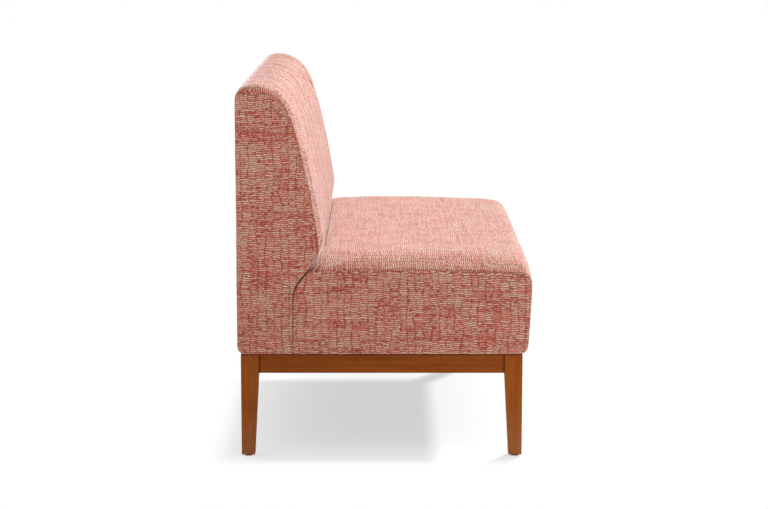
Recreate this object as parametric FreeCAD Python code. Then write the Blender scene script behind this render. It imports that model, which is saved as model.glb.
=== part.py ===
import FreeCAD, Part
import math
import os

os.makedirs("parts", exist_ok=True)
V = FreeCAD.Vector

# Upholstered banquette in millimetres. Front faces -Y, left is -X, the floor is Z = 0.
width = 1220.0
depth = 694.0
cloth_bottom = 247.0  # lower edge of the upholstery above the floor

# Clearances and working values shared by all pieces.
overrun = 5.0  # every cut runs this far past the face that it opens
wood_gap = 0.1  # round tenons, dowels, laps, bolts and wood screws
run_gap = 0.05  # radial, on the glide thread and its insert
soft_gap = 0.3  # round foam, felt and cloth
frame_margin = 3.0  # timber frame to the start of a padded rounding

# Side outline of the back: depths from the rear face, rises from the upholstery's lower edge.
back_rise = 640.0
back_top_depth = 112.0
back_crown_depth = 174.0
back_crown_rise = 434.0
nose_depth = 205.0
nose_rise = 247.0
foot_depth = 132.0
tuck_rise = 142.0
back_rear_round = 35.0
back_top_round = 90.0
back_crown_round = 2000.0
nose_round = 45.0
tuck_round = 45.0

# Side outline of the seat: it follows the lower front of the back across two gaps.
unit_gap = 0.6
tuck_gap = 4.0
seat_crown_rise = 230.0
seat_rear_drop = 5.0  # top at the rear below the crown
seat_front_drop = 11.0  # top at the front edge below the crown
seat_crown_share = 0.6  # of the seat's depth, back from the front
belly_rise = 146.0  # where the front face starts to lean in
front_lean = 8.0
shoulder_round = 40.0
shoulder_top_round = 30.0
seat_crown_round = 5000.0
seat_front_round = 42.0
belly_round = 600.0

# Roundings at the hem, and how each stretch of an outline draws in at the two ends.
hem_round = 12.0
inner_hem_round = 4.0
least_round = 1.0
back_turn = 24.0  # length over which the back's cover turns into its side panel
back_rear_draw = 1.0
back_front_draw = 11.0
back_tuck_draw = 5.0
back_foot_draw = 3.0
seat_turn = 20.0
seat_top_draw = 20.0
seat_front_draw = 2.0
seat_shoulder_draw = 6.0
seat_rear_draw = 2.0
hem_draw = 8.0
back_top_swell = 1.0  # how far the middle stands proud of the ends
back_front_swell = 1.0
seat_top_swell = 4.0
seat_front_swell = 1.0
turn_steps = 4
middle_shares = (0.75, 0.5, 0.25, 0.0, -0.25, -0.5, -0.75)
round_limit_share = 0.48  # of the shorter side that a rounding may use

# Cloth, underside cloth, felt and foam.
cloth_thick = 2.0
seam_lap = 1.5  # cover that lies flat round a side panel
seat_rim = 48.0  # cloth turned in under the seat frame
back_rim = 30.0
dust_thick = 1.0
dust_inset = 26.0
felt_thick = 6.0
back_front_foam = 48.0
back_tuck_foam = 25.0

# Wooden base.
leg_size = 42.0
leg_foot_size = 31.5
leg_side_inset = 14.0
leg_front_inset = 19.0
leg_rear_inset = 8.0
leg_arris = 2.0
rail_height = 44.0
rail_thick = 22.0
rail_recess = 4.0
rail_arris = 1.5
tenon_thick = 10.0
tenon_height = 28.0
tenon_length = 17.0
stub_length = 10.0
block_relief = 2.0
block_reach = 70.0
block_height = 24.0
block_drop = 6.0
block_grip = 22.0  # wood under the head of a block screw
block_bite = 14.0
block_screw_share = 0.6
block_screw_radius = 2.2
block_head_radius = 4.5
block_head_height = 3.0
block_pocket_radius = 6.0

# Base screws, up through the base rails.
base_screw_radius = 2.6
base_screw_length = 62.0
base_head_radius = 5.0
base_head_height = 3.5
base_pocket_radius = 6.0
base_pocket_depth = 18.0
base_screw_shares = (-0.74, -0.25, 0.25, 0.74)
side_screw_share = 0.46

# Levelling glides.
pad_radius = 11.0
pad_height = 4.0
pad_edge_round = 2.6
pad_floor = 1.0
pad_gap = 0.5
head_radius = 6.5
head_height = 1.2
head_gap = 0.2
neck_gap = 0.5
stem_radius = 4.0
stem_length = 34.0
stem_end_room = 8.0
collar_flats = 13.0
collar_height = 3.0
collar_gap = 0.3
collar_room = 0.7
insert_radius = 6.0
insert_length = 18.0

# Seat frame, springs and their fixings.
frame_thick = 25.0
frame_height = 90.0
center_height = 60.0
frame_gap = 2.5
dowel_radius = 5.0
dowel_face_depth = 18.0
dowel_end_depth = 26.0
dowel_shares = (0.28, 0.72)
center_dowel_shares = (0.25, 0.75)
spring_count = 9
spring_half_turns = 20
wire_radius = 1.9
spring_bar = 24.0  # straight stretch between two bends
clip_thick = 1.2
clip_gap = 0.1
clip_width = 16.0
clip_length = 22.0
nail_radius = 1.2
nail_length = 18.0
nail_head_radius = 2.4
nail_head_height = 0.8
nail_share = 0.36  # of the clip's length, from the wire

# Back frame and the bolts to the seat frame.
ply_thick = 18.0
rib_corner_round = 4.0
back_rail_height = 70.0
foot_rail_height = 90.0
waist_rail_height = 60.0
waist_rail_rise = 262.0
board_thick = 4.0
strap_width = 50.0
strap_thick = 2.0
upper_strap_shares = (0.2, 0.62)
lower_strap_shares = (0.3, 0.76)
bolt_radius = 4.0
bolt_head_radius = 9.0
bolt_head_height = 4.5
bolt_spare = 3.0
bolt_shares = (-0.62, -0.2, 0.2, 0.62)
washer_radius = 9.0
washer_thick = 1.6
nut_flats = 13.0
nut_height = 6.5

# Places worked out from the sizes above.
half = width / 2
rear_y = depth / 2
front_y = -depth / 2
base_top = cloth_bottom - dust_thick
frame_half = half - max(seat_turn, back_turn) - frame_margin
frame_bottom = cloth_bottom + cloth_thick + soft_gap
leg_lift = pad_height + pad_gap
leg_x = half - leg_side_inset
leg_front_y = front_y + leg_front_inset
leg_rear_y = rear_y - leg_rear_inset
rail_bottom = base_top - rail_height
CORNERS = {
    "front_left": (-1, -1),
    "front_right": (1, -1),
    "rear_left": (-1, 1),
    "rear_right": (1, 1),
}


def save(name, *solids):
    """Write one node, a single solid or a group of separate solids."""
    shape = solids[0] if len(solids) == 1 else Part.makeCompound(list(solids))
    shape.exportStep(f"parts/{name}.step")


def block(xs, ys, zs):
    """Box between two values on each axis."""
    low = V(min(xs), min(ys), min(zs))
    return Part.makeBox(max(xs) - low.x, max(ys) - low.y, max(zs) - low.z, low)


def rod(start, end, radius):
    """Round bar from one point to another."""
    run = end - start
    return Part.makeCylinder(radius, run.Length, start, run)


def hexagon(base, flats, height):
    """Upright hexagonal prism with a given size across flats."""
    reach = flats / math.sqrt(3)
    turns = [math.radians(60 * step) for step in range(7)]
    ring = Part.makePolygon([base + V(reach * math.cos(t), reach * math.sin(t), 0) for t in turns])
    return Part.Face(ring).extrude(V(0, 0, height))


def fused(first, *others):
    """Several overlapping shapes made one solid."""
    return first.fuse(list(others)).removeSplitter()


def crossing(line, other):
    """Point where two lines in one YZ plane meet; a line is a point and a direction."""
    (p, d), (q, e) = line, other
    step = ((q - p).y * e.z - (q - p).z * e.y) / (d.y * e.z - d.z * e.y)
    return p + d * step


def shifted_line(start, end, inset):
    """Line from start to end moved to its left, which is inwards on an outline."""
    along = (end - start).normalize()
    return start + V(0, -along.z, along.y) * inset, along


def drawn_in(outline, insets):
    """Outline with each side moved inwards by its own inset; side i leaves corner i."""
    ends = outline[1:] + outline[:1]
    lines = [shifted_line(p, q, inset) for p, q, inset in zip(outline, ends, insets)]
    return [crossing(lines[i - 1], lines[i]) for i in range(len(lines))]


def rounded_wire(corners, rounds):
    """Closed wire of straight sides with a tangent arc at every corner."""
    marks = []
    for i, (corner, radius) in enumerate(zip(corners, rounds)):
        before = corners[i - 1] - corner
        after = corners[(i + 1) % len(corners)] - corner
        half_angle = before.getAngle(after) / 2
        limit = round_limit_share * min(before.Length, after.Length)
        reach = min(radius / math.tan(half_angle), limit)
        before.normalize()
        after.normalize()
        arc_radius = reach * math.tan(half_angle)
        inward = (before + after).normalize()
        middle = corner + inward * (arc_radius / math.sin(half_angle) - arc_radius)
        marks.append((corner + before * reach, middle, corner + after * reach))
    edges = []
    for i, (start, middle, end) in enumerate(marks):
        edges.append(Part.Arc(start, middle, end).toShape())
        edges.append(Part.LineSegment(end, marks[(i + 1) % len(marks)][0]).toShape())
    return Part.Wire(edges)


def is_hollow(outline, i):
    """True where an outline turns inwards at corner i."""
    before = outline[i] - outline[i - 1]
    after = outline[(i + 1) % len(outline)] - outline[i]
    return before.y * after.z - before.z * after.y < 0


class PaddedUnit:
    """A padded block: one side outline carried from end to end, swollen in the middle and drawn in
    along a quarter turn at both ends, where it meets a flat side panel."""

    def __init__(self, outline, rounds, draws, swells, turn):
        self.outline = outline
        self.rounds = rounds
        self.draws = draws
        self.swells = swells
        self.turn = turn

    def section(self, x, inset, draw_share):
        """Cross-section at x, inset all round and drawn in by a share of each side's draw."""
        swell_share = (x / half) ** 2
        insets = [
            inset + swell * swell_share + draw * draw_share
            for draw, swell in zip(self.draws, self.swells)
        ]
        rounds = []
        for i, radius in enumerate(self.rounds):
            change = (insets[i - 1] + insets[i]) / 2
            rounds.append(max(radius + (change if is_hollow(self.outline, i) else -change), least_round))
        corners = [V(x, p.y, p.z) for p in drawn_in(self.outline, insets)]
        return rounded_wire(corners, rounds)

    def solid(self, inset):
        """The closed form, inset all round."""
        bend = self.turn - inset
        bend_share = bend / self.turn
        stations = [(share * half, 0) for share in middle_shares]
        for step in range(turn_steps + 1):
            angle = math.pi / 2 * step / turn_steps
            x = half - inset - bend + bend * math.sin(angle)
            draw_share = bend_share * (1 - math.cos(angle))
            stations = [(x, draw_share), *stations, (-x, draw_share)]
        return Part.makeLoft([self.section(x, inset, share) for x, share in stations], True, True)

    def side_panel(self, side):
        """Flat cloth panel sewn into one end, inside the lap of the cover."""
        face = Part.Face(self.section(side * half, seam_lap, 1))
        return face.extrude(V(-side * cloth_thick, 0, 0))

    def cover(self, panels, opening):
        """Cloth shell round the form, open underneath and at the two side panels."""
        return self.solid(0).cut([self.solid(cloth_thick), opening, *panels])


# Side outlines, counter-clockwise with +Y to the right, from the lower rear corner.
foot_y = rear_y - foot_depth
back_top = cloth_bottom + back_rise
nose = V(0, rear_y - nose_depth, cloth_bottom + nose_rise)
tuck = V(0, foot_y, cloth_bottom + tuck_rise)
back_outline = [
    V(0, rear_y, cloth_bottom),
    V(0, rear_y, back_top),
    V(0, rear_y - back_top_depth, back_top),
    V(0, rear_y - back_crown_depth, cloth_bottom + back_crown_rise),
    nose,
    tuck,
    V(0, foot_y, cloth_bottom),
]
back = PaddedUnit(
    back_outline,
    [hem_round, back_rear_round, back_top_round, back_crown_round, nose_round, tuck_round, inner_hem_round],
    [back_rear_draw, back_front_draw, back_front_draw, back_front_draw, back_tuck_draw, back_foot_draw,
     hem_draw],
    [0, back_top_swell, back_front_swell, back_front_swell, 0, 0, 0],
    back_turn,
)

seat_rear_y = foot_y - unit_gap
seat_top = cloth_bottom + seat_crown_rise
seat_crown = V(0, front_y + seat_crown_share * (seat_rear_y - front_y), seat_top)
seat_rear_line = (V(0, seat_rear_y, cloth_bottom), V(0, 0, 1))
shoulder_line = shifted_line(nose, tuck, -tuck_gap)
top_rear_line = (seat_crown, V(0, seat_rear_y, seat_top - seat_rear_drop) - seat_crown)
seat_outline = [
    V(0, seat_rear_y, cloth_bottom),
    crossing(seat_rear_line, shoulder_line),
    crossing(shoulder_line, top_rear_line),
    seat_crown,
    V(0, front_y, seat_top - seat_front_drop),
    V(0, front_y, cloth_bottom + belly_rise),
    V(0, front_y + front_lean, cloth_bottom),
]
seat = PaddedUnit(
    seat_outline,
    [inner_hem_round, shoulder_round, shoulder_top_round, seat_crown_round, seat_front_round, belly_round,
     hem_round],
    [seat_rear_draw, seat_shoulder_draw, seat_top_draw, seat_top_draw, seat_front_draw, seat_front_draw,
     hem_draw],
    [0, 0, seat_top_swell, seat_top_swell, seat_front_swell, seat_front_swell, 0],
    seat_turn,
)

# Seat frame faces.
seat_face_y = front_y + front_lean + hem_round + frame_margin
seat_back_y = seat_rear_y - cloth_thick - frame_gap
frame_top = frame_bottom + frame_height
front_rail_ys = (seat_face_y, seat_face_y + frame_thick)
rear_rail_ys = (seat_back_y - frame_thick, seat_back_y)
side_rail_xs = (frame_half - frame_thick, frame_half)

# Back frame faces.
rib_rear_y = rear_y - cloth_thick - soft_gap - board_thick
foot_face_y = foot_y + cloth_thick + frame_gap
rib_top = back_top - back_top_swell - back_rear_round - frame_margin
foot_rail_ys = (foot_face_y, foot_face_y + ply_thick)
rear_rail_back_ys = (rib_rear_y - ply_thick, rib_rear_y)
rear_foot_bottom = frame_bottom + hem_round

# Base rail faces.
base_front_ys = (leg_front_y + rail_recess, leg_front_y + rail_recess + rail_thick)
base_rear_ys = (leg_rear_y - rail_recess - rail_thick, leg_rear_y - rail_recess)
base_side_xs = (leg_x - rail_recess - rail_thick, leg_x - rail_recess)
rail_end_x = leg_x - leg_size
side_rail_end_ys = (leg_front_y + leg_size, leg_rear_y - leg_size)
tenon_zs = (base_top - (rail_height + tenon_height) / 2, base_top - (rail_height - tenon_height) / 2)


def shared_middle(span, other):
    """Middle of the stretch that two spans have in common."""
    return (max(span[0], other[0]) + min(span[1], other[1])) / 2


def grown(span, gap):
    """Span widened by a gap at both ends."""
    return (min(span) - gap, max(span) + gap)


def centered(middle, size):
    """Span of a given size about a middle."""
    return (middle - size / 2, middle + size / 2)


# Base screws: where each one passes, front and rear rails first, then the two side rails.
front_screw_y = shared_middle(base_front_ys, front_rail_ys)
rear_screw_y = shared_middle(base_rear_ys, rear_rail_back_ys)
side_screw_x = shared_middle(base_side_xs, side_rail_xs)
side_screw_y = front_y + side_screw_share * depth
front_screws = [(share * half, front_screw_y) for share in base_screw_shares]
rear_screws = [(share * half, rear_screw_y) for share in base_screw_shares]
side_screws = [(side * side_screw_x, side_screw_y) for side in (-1, 1)]
screw_seat = rail_bottom + base_pocket_depth


def base_screw(x, y):
    """Pan-head wood screw pointing up, its head in a pocket under the base rail."""
    seat_point = V(x, y, screw_seat)
    shank = rod(seat_point, seat_point + V(0, 0, base_screw_length), base_screw_radius)
    return fused(shank, rod(seat_point - V(0, 0, base_head_height), seat_point, base_head_radius))


def base_screw_hole(x, y, gap):
    """Hole and head pocket for a base screw."""
    seat_point = V(x, y, screw_seat)
    tip = seat_point + V(0, 0, base_screw_length + gap)
    pocket = rod(V(x, y, rail_bottom - overrun), seat_point, base_pocket_radius)
    return rod(seat_point, tip, base_screw_radius + gap).fuse(pocket)


def screw_holes(places, gap=wood_gap):
    """Holes for a row of base screws."""
    return [base_screw_hole(x, y, gap) for x, y in places]


def tenon(xs, ys, gap=0):
    """Tenon between two spans, or the mortise for it when given a gap."""
    return block(grown(xs, gap), grown(ys, gap), grown(tenon_zs, gap))


def rail_body(xs, ys):
    """Base rail with its long edges eased; it runs along its longer side."""
    low, high = V(min(xs), min(ys), rail_bottom), V(max(xs), max(ys), base_top)
    run = V(high.x - low.x, 0, 0)
    corners = [low, V(low.x, high.y, low.z), V(low.x, high.y, high.z), V(low.x, low.y, high.z)]
    if high.y - low.y > run.x:
        run = V(0, high.y - low.y, 0)
        corners = [low, V(high.x, low.y, low.z), V(high.x, low.y, high.z), V(low.x, low.y, high.z)]
    return Part.Face(rounded_wire(corners, [rail_arris] * len(corners))).extrude(run)


def cross_tenon(ys, side, gap=0):
    """Tenon at one end of the front or rear base rail."""
    return tenon((side * rail_end_x, side * (rail_end_x + tenon_length)),
                 centered(sum(ys) / 2, tenon_thick), gap)


def side_tenon(side, end_y, step, gap=0):
    """Tenon at one end of a side base rail; step is the way it points along Y."""
    return tenon(centered(side * sum(base_side_xs) / 2, tenon_thick),
                 (end_y, end_y + step * tenon_length), gap)


def center_tenon(ys, step, gap=0):
    """Stub tenon of the center base rail in the front or rear rail."""
    inner_y = ys[1] if step < 0 else ys[0]
    return tenon(centered(0, tenon_thick), (inner_y, inner_y + step * stub_length), gap)


def block_screw_line(corner, swap, gap=0):
    """Seat point, tip and outward direction of one corner block screw."""
    sx, sy = CORNERS[corner]
    outer = V(sx * leg_x, leg_rear_y if sy > 0 else leg_front_y, 0)
    inner = rail_recess + rail_thick
    along = leg_size + block_relief + block_screw_share * block_reach
    z = base_top - block_drop - block_height / 2
    spots = [(along, inner + block_grip), (along, inner - block_bite - gap)]
    spots = [(v, u) if swap else (u, v) for u, v in spots]
    seat_point, tip = [V(outer.x - sx * u, outer.y - sy * v, z) for u, v in spots]
    return seat_point, tip, (seat_point - tip).normalize()


def block_screw(corner, swap):
    """Wood screw from a corner block into one of its two rails."""
    seat_point, tip, back_way = block_screw_line(corner, swap)
    head = rod(seat_point, seat_point + back_way * block_head_height, block_head_radius)
    return fused(rod(tip, seat_point, block_screw_radius), head)


def block_screw_hole(corner, swap):
    """Hole for a corner block screw, with a flat pocket for its head."""
    seat_point, tip, back_way = block_screw_line(corner, swap, wood_gap)
    pocket = rod(seat_point, seat_point + back_way * block_reach, block_pocket_radius)
    return rod(tip, seat_point, block_screw_radius + wood_gap).fuse(pocket)


def rail_block_holes(corners, swap):
    """Holes that the corner block screws make in one rail."""
    return [block_screw_hole(corner, swap) for corner in corners]


def corner_block(corner):
    """Mitred block glued across a corner of the base, cut away round the leg."""
    sx, sy = CORNERS[corner]
    outer_y = leg_rear_y if sy > 0 else leg_front_y
    inner = rail_recess + rail_thick
    start = leg_size + block_relief
    end = start + block_reach
    spots = [(start, inner), (end, inner), (inner, end), (inner, start), (start, start), (start, inner)]
    low = base_top - block_drop - block_height
    outline = Part.makePolygon([V(sx * (leg_x - u), outer_y - sy * v, low) for u, v in spots])
    solid = Part.Face(outline).extrude(V(0, 0, block_height))
    return solid.cut([block_screw_hole(corner, swap) for swap in (False, True)])


def leg(corner):
    """Square leg, tapered on its two inner faces below the rails, mortised and bored for its glide."""
    sx, sy = CORNERS[corner]
    outer = V(sx * leg_x, leg_rear_y if sy > 0 else leg_front_y, 0)
    wires = []
    for size, z in ((leg_foot_size, leg_lift), (leg_size, rail_bottom), (leg_size, base_top)):
        spots = ((0, 0), (size, 0), (size, size), (0, size))
        corners = [outer + V(-sx * u, -sy * v, z) for u, v in spots]
        wires.append(rounded_wire(corners, [leg_arris] * len(corners)))
    solid = Part.makeLoft(wires, True, True)
    rail_ys = base_rear_ys if sy > 0 else base_front_ys
    end_y = side_rail_end_ys[1] if sy > 0 else side_rail_end_ys[0]
    axis = glide_axis(corner)
    insert_z = leg_lift + collar_recess
    bore_top = stem_foot + stem_length + stem_end_room
    return solid.cut([
        cross_tenon(rail_ys, sx, wood_gap),
        side_tenon(sx, end_y, sy, wood_gap),
        rod(axis + V(0, 0, leg_lift - overrun), axis + V(0, 0, insert_z), collar_bore_radius),
        rod(axis + V(0, 0, leg_lift), axis + V(0, 0, insert_z + insert_length), insert_radius + run_gap),
        rod(axis + V(0, 0, leg_lift), axis + V(0, 0, bore_top), stem_radius + neck_gap),
    ])


# Glide heights and bores, from the floor up.
stem_foot = pad_floor + head_gap
pocket_top = stem_foot + head_height + head_gap
collar_bottom = pad_height + collar_gap
collar_recess = collar_bottom + collar_height + collar_room - leg_lift
collar_bore_radius = collar_flats / math.sqrt(3) + collar_room


def glide_axis(corner):
    """Point on the floor under the middle of a leg's foot."""
    sx, sy = CORNERS[corner]
    outer_y = leg_rear_y if sy > 0 else leg_front_y
    return V(sx * (leg_x - leg_foot_size / 2), outer_y - sy * leg_foot_size / 2, 0)


def glide_pad(corner):
    """Nylon foot with a rounded lower edge and a pocket that traps the head of the stem."""
    axis = glide_axis(corner)
    puck = rod(axis, axis + V(0, 0, pad_height), pad_radius)
    rims = [e for e in puck.Edges if e.Closed and e.CenterOfMass.z < pad_height / 2]
    puck = puck.makeFillet(pad_edge_round, rims)
    pocket = rod(axis + V(0, 0, pad_floor), axis + V(0, 0, pocket_top), head_radius + neck_gap)
    neck = rod(axis + V(0, 0, pad_floor), axis + V(0, 0, pad_height + overrun), stem_radius + neck_gap)
    return puck.cut([pocket, neck])


def glide_stem(corner):
    """Steel stem: head in the pad, hexagonal collar and a screw drawn as a plain rod."""
    axis = glide_axis(corner)
    foot = axis + V(0, 0, stem_foot)
    collar = hexagon(axis + V(0, 0, collar_bottom), collar_flats, collar_height)
    screw = rod(foot, foot + V(0, 0, stem_length), stem_radius)
    return fused(screw, rod(foot, foot + V(0, 0, head_height), head_radius), collar)


def glide_insert(corner):
    """Threaded insert in the foot of a leg, drawn as a plain sleeve."""
    start = glide_axis(corner) + V(0, 0, leg_lift + collar_recess)
    end = start + V(0, 0, insert_length)
    bore = rod(start - V(0, 0, overrun), end + V(0, 0, overrun), stem_radius + run_gap)
    return rod(start, end, insert_radius).cut(bore)


# Base.
for corner in CORNERS:
    save(f"leg_{corner}", leg(corner))
    save(f"corner_block_{corner}", corner_block(corner))
    save(f"glide_pad_{corner}", glide_pad(corner))
    save(f"glide_stem_{corner}", glide_stem(corner))
save("glide_inserts", *[glide_insert(corner) for corner in CORNERS])
save("corner_block_screws", *[block_screw(corner, swap) for corner in CORNERS for swap in (False, True)])
save("base_screws", *[base_screw(x, y) for x, y in front_screws + rear_screws + side_screws])

for name, ys, step, screws in (
    ("front", base_front_ys, -1, front_screws),
    ("rear", base_rear_ys, 1, rear_screws),
):
    body = fused(rail_body((-rail_end_x, rail_end_x), ys), *[cross_tenon(ys, side) for side in (-1, 1)])
    corners = [f"{name}_left", f"{name}_right"]
    cuts = [center_tenon(ys, step, wood_gap), *screw_holes(screws), *rail_block_holes(corners, False)]
    save(f"base_{name}_rail", body.cut(cuts))
for name, side, screw in (("left", -1, side_screws[0]), ("right", 1, side_screws[1])):
    body = rail_body([side * x for x in base_side_xs], side_rail_end_ys)
    tenons = [side_tenon(side, end_y, step) for end_y, step in zip(side_rail_end_ys, (-1, 1))]
    corners = [f"front_{name}", f"rear_{name}"]
    cuts = [*screw_holes([screw]), *rail_block_holes(corners, True)]
    save(f"base_{name}_rail", fused(body, *tenons).cut(cuts))
center_body = rail_body(centered(0, rail_thick), (base_front_ys[1], base_rear_ys[0]))
save("base_center_rail",
     fused(center_body, center_tenon(base_front_ys, -1), center_tenon(base_rear_ys, 1)))

# Seat frame: side and center rails butt between the front and rear rails on dowels.
frame_zs = (frame_bottom, frame_top)
bolt_z = frame_bottom + frame_height / 2
bolt_xs = [share * half for share in bolt_shares]


def bolt_hole(x):
    """Hole through both frames and the cloth between them."""
    return rod(V(x, rear_rail_ys[0] - overrun, bolt_z), V(x, foot_rail_ys[1] + overrun, bolt_z),
               bolt_radius + wood_gap)


def dowel(x, z, face_y, step, gap=0):
    """Dowel across a butt joint; step points from the end grain into the front or rear rail."""
    return rod(V(x, face_y + step * (dowel_face_depth + gap), z),
               V(x, face_y - step * (dowel_end_depth + gap), z), dowel_radius + gap)


dowel_places = []
for face_y, step in ((front_rail_ys[1], -1), (rear_rail_ys[0], 1)):
    for side in (-1, 1):
        for share in dowel_shares:
            x = side * sum(side_rail_xs) / 2
            dowel_places.append((x, frame_bottom + share * frame_height, face_y, step))
    for share in center_dowel_shares:
        dowel_places.append((0, frame_bottom + share * center_height, face_y, step))
dowel_holes = [dowel(*place, wood_gap) for place in dowel_places]
save("seat_dowels", *[dowel(*place) for place in dowel_places])

# Zigzag springs, front to back, with a clip and two nails at each end.
wire_z = frame_top + clip_thick + clip_gap + wire_radius
spring_ys = (sum(front_rail_ys) / 2, sum(rear_rail_ys) / 2)
spring_pitch = (spring_ys[1] - spring_ys[0]) / spring_half_turns
spring_step = 2 * side_rail_xs[0] / spring_count
spring_xs = [-side_rail_xs[0] + (i + 0.5) * spring_step for i in range(spring_count)]


def spring(x):
    """One wire: straight bars across the seat joined by half turns, alternately right and left."""
    edges = []
    for i in range(spring_half_turns + 1):
        side = 1 if i % 2 == 0 else -1
        y = spring_ys[0] + i * spring_pitch
        start = V(x - side * spring_bar / 2, y, wire_z)
        end = V(x + side * spring_bar / 2, y, wire_z)
        edges.append(Part.LineSegment(start, end).toShape())
        if i < spring_half_turns:
            bend = end + V(side * spring_pitch / 2, spring_pitch / 2, 0)
            edges.append(Part.Arc(end, bend, end + V(0, spring_pitch, 0)).toShape())
    path = Part.Wire(edges)
    ring = Part.Wire(Part.makeCircle(wire_radius, V(x - spring_bar / 2, spring_ys[0], wire_z), V(1, 0, 0)))
    return path.makePipeShell([ring], True, False)


def arch(x, y, radius, width_x):
    """Bar along X with a round top, standing on the seat rail."""
    xs = centered(x, width_x)
    top = rod(V(xs[0], y, wire_z), V(xs[1], y, wire_z), radius)
    return fused(top, block(xs, centered(y, 2 * radius), (frame_top, wire_z)))


def nail_spots(x, y):
    """Points on the plate of a clip where its two nails stand."""
    return [V(x, y + side * nail_share * clip_length, frame_top) for side in (-1, 1)]


def clip(x, y):
    """Folded steel clip that holds the first or last bar of a spring on its rail."""
    plate = block(centered(x, clip_width), centered(y, clip_length), (frame_top, frame_top + clip_thick))
    inner = wire_radius + clip_gap
    tunnel = rod(V(x - clip_width, y, wire_z), V(x + clip_width, y, wire_z), inner)
    hood = arch(x, y, inner + clip_thick, clip_width)
    holes = [rod(p - V(0, 0, overrun), p + V(0, 0, overrun), nail_radius + clip_gap) for p in nail_spots(x, y)]
    return fused(plate, hood).cut([tunnel, *holes])


def nail(point):
    """Round nail through a clip into the rail."""
    seat_point = point + V(0, 0, clip_thick)
    head = rod(seat_point, seat_point + V(0, 0, nail_head_height), nail_head_radius)
    return fused(rod(point - V(0, 0, nail_length), seat_point, nail_radius), head)


clip_places = [(x, y) for x in spring_xs for y in spring_ys]
nail_points = [point for x, y in clip_places for point in nail_spots(x, y)]
nail_holes = [rod(p - V(0, 0, nail_length + wood_gap), p + V(0, 0, overrun), nail_radius + wood_gap)
              for p in nail_points]
save("seat_springs", *[spring(x) for x in spring_xs])
save("spring_clips", *[clip(x, y) for x, y in clip_places])
save("clip_nails", *[nail(point) for point in nail_points])

rail_xs = (-frame_half, frame_half)
between_ys = (front_rail_ys[1], rear_rail_ys[0])
front_rail = block(rail_xs, front_rail_ys, frame_zs)
save("seat_front_rail", front_rail.cut([*dowel_holes, *nail_holes, *screw_holes(front_screws)]))
rear_rail = block(rail_xs, rear_rail_ys, frame_zs)
save("seat_rear_rail", rear_rail.cut([*dowel_holes, *nail_holes, *[bolt_hole(x) for x in bolt_xs]]))
for name, side, screw in (("left", -1, side_screws[0]), ("right", 1, side_screws[1])):
    side_rail = block([side * x for x in side_rail_xs], between_ys, frame_zs)
    save(f"seat_{name}_rail", side_rail.cut([*dowel_holes, *screw_holes([screw])]))
center_zs = (frame_bottom, frame_bottom + center_height)
save("seat_center_rail", block(centered(0, frame_thick), between_ys, center_zs).cut(dowel_holes))

# Felt pad on the springs, foam cap over the frame, and the seat's cover.
felt_bottom = wire_z + wire_radius + clip_gap + clip_thick + soft_gap
felt_top = felt_bottom + felt_thick
save("spring_pad", block(rail_xs, (seat_face_y, seat_back_y), (felt_bottom, felt_top)))
seat_cavity = block(
    grown(rail_xs, soft_gap),
    (seat_face_y - soft_gap, seat_rear_y + overrun),
    (cloth_bottom - overrun, felt_top + soft_gap),
)
save("seat_foam", seat.solid(cloth_thick + soft_gap).cut(seat_cavity))
seat_opening = block(
    grown((-half, half), -seat_rim),
    (front_y + seat_rim, seat_rear_y - seat_rim),
    (cloth_bottom - overrun, cloth_bottom + cloth_thick + overrun),
)
seat_panels = [seat.side_panel(side) for side in (-1, 1)]
seat_cover = seat.cover(seat_panels, seat_opening)
seat_holes = [*screw_holes(front_screws + side_screws, soft_gap), *[bolt_hole(x) for x in bolt_xs]]
seat_cover = seat_cover.cut(seat_holes)
save("seat_cover", seat_cover)
save("seat_cover_left", seat_panels[0])
save("seat_cover_right", seat_panels[1])

# Back frame: three ribs of the back's outline, less its foam, notched for four long rails.
rib_outline = drawn_in(back_outline, [
    rear_y - rib_rear_y,
    back_top - rib_top,
    back_front_foam,
    back_front_foam,
    back_tuck_foam,
    foot_face_y - foot_y,
    frame_bottom - cloth_bottom,
])
rib_rounds = [hem_round] + [rib_corner_round] * (len(rib_outline) - 1)
rib_upper, rib_crown, rib_nose = rib_outline[2:5]


def front_edge_y(z):
    """Front edge of a rib at a height between its nose and its crown."""
    return crossing((V(0, 0, z), V(0, 1, 0)), (rib_nose, rib_crown - rib_nose)).y


waist_zs = (cloth_bottom + waist_rail_rise, cloth_bottom + waist_rail_rise + waist_rail_height)
waist_y = front_edge_y(waist_zs[1])
back_rails = {
    "back_top_rail": (rear_rail_back_ys, (rib_top - back_rail_height, rib_top)),
    "back_waist_rail": ((waist_y, waist_y + ply_thick), waist_zs),
    "back_front_foot_rail": (foot_rail_ys, (frame_bottom, frame_bottom + foot_rail_height)),
    "back_rear_foot_rail": (rear_rail_back_ys, (rear_foot_bottom, rear_foot_bottom + back_rail_height)),
}
notches = [block(grown(rail_xs, overrun), grown(ys, wood_gap), grown(zs, wood_gap))
           for ys, zs in back_rails.values()]
rib_places = {
    "left": -frame_half,
    "center": -ply_thick / 2,
    "right": frame_half - ply_thick,
}
for name, x in rib_places.items():
    corners = [V(x, p.y, p.z) for p in rib_outline]
    rib = Part.Face(rounded_wire(corners, rib_rounds)).extrude(V(ply_thick, 0, 0))
    save(f"back_rib_{name}", rib.cut(notches))
back_holes = [*screw_holes(rear_screws), *[bolt_hole(x) for x in bolt_xs]]
for name, (ys, zs) in back_rails.items():
    save(name, block(rail_xs, ys, zs).cut(back_holes))


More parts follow.
